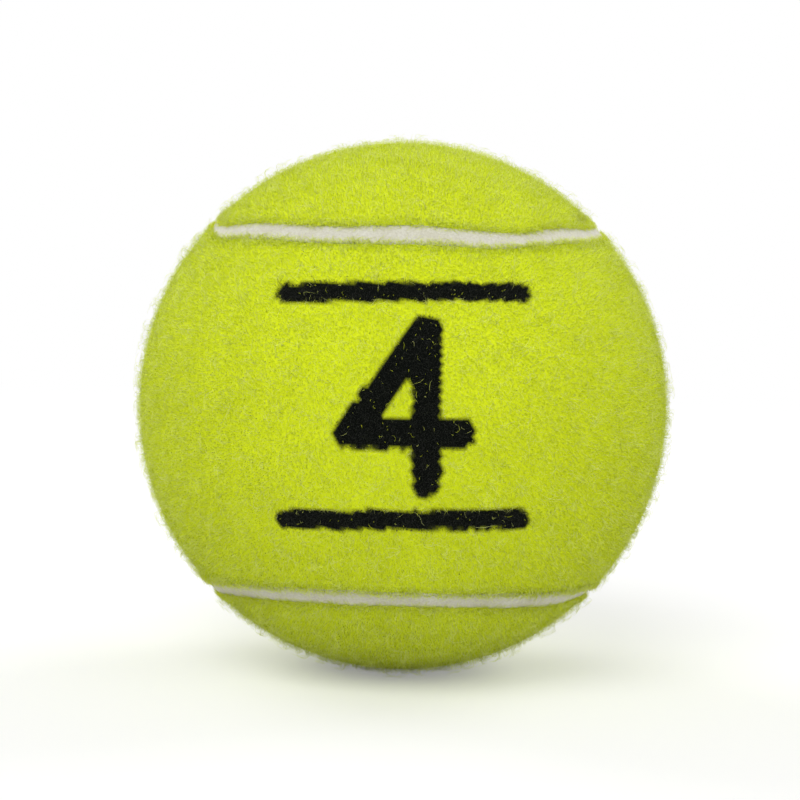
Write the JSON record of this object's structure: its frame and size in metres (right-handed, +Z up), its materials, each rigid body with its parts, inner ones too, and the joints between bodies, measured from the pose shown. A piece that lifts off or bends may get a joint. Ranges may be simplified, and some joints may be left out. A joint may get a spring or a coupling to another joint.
{
  "type": "tennis ball",
  "caption": "Hollow pressurised rubber ball covered in yellow felt, with a pale rubber seam that winds round it in one closed line, for playing tennis.",
  "frame": {"origin": "the ball's centre", "axes": "+Z up as the ball lies in the picture; -Y towards the camera, through the neck of the front felt panel; +X to the right"},
  "size_m": [0.0664, 0.0664, 0.0664],
  "materials": {
    "felt": "raised nap, soft and matt",
    "seam": "dusty matt",
    "core_rubber": "moulded matt",
    "cement": "dried rubber cement, satin"
  },
  "bodies": {
    "root": {"half_shell_upper": "core_rubber", "half_shell_lower": "core_rubber", "core_joint_cement": "cement", "core_cement_coat": "cement", "felt_back_coat_front": "cement", "felt_back_coat_back": "cement", "felt_panel_front": "felt", "felt_panel_back": "felt", "seam_strip": "seam"}
  },
  "joints": []
}
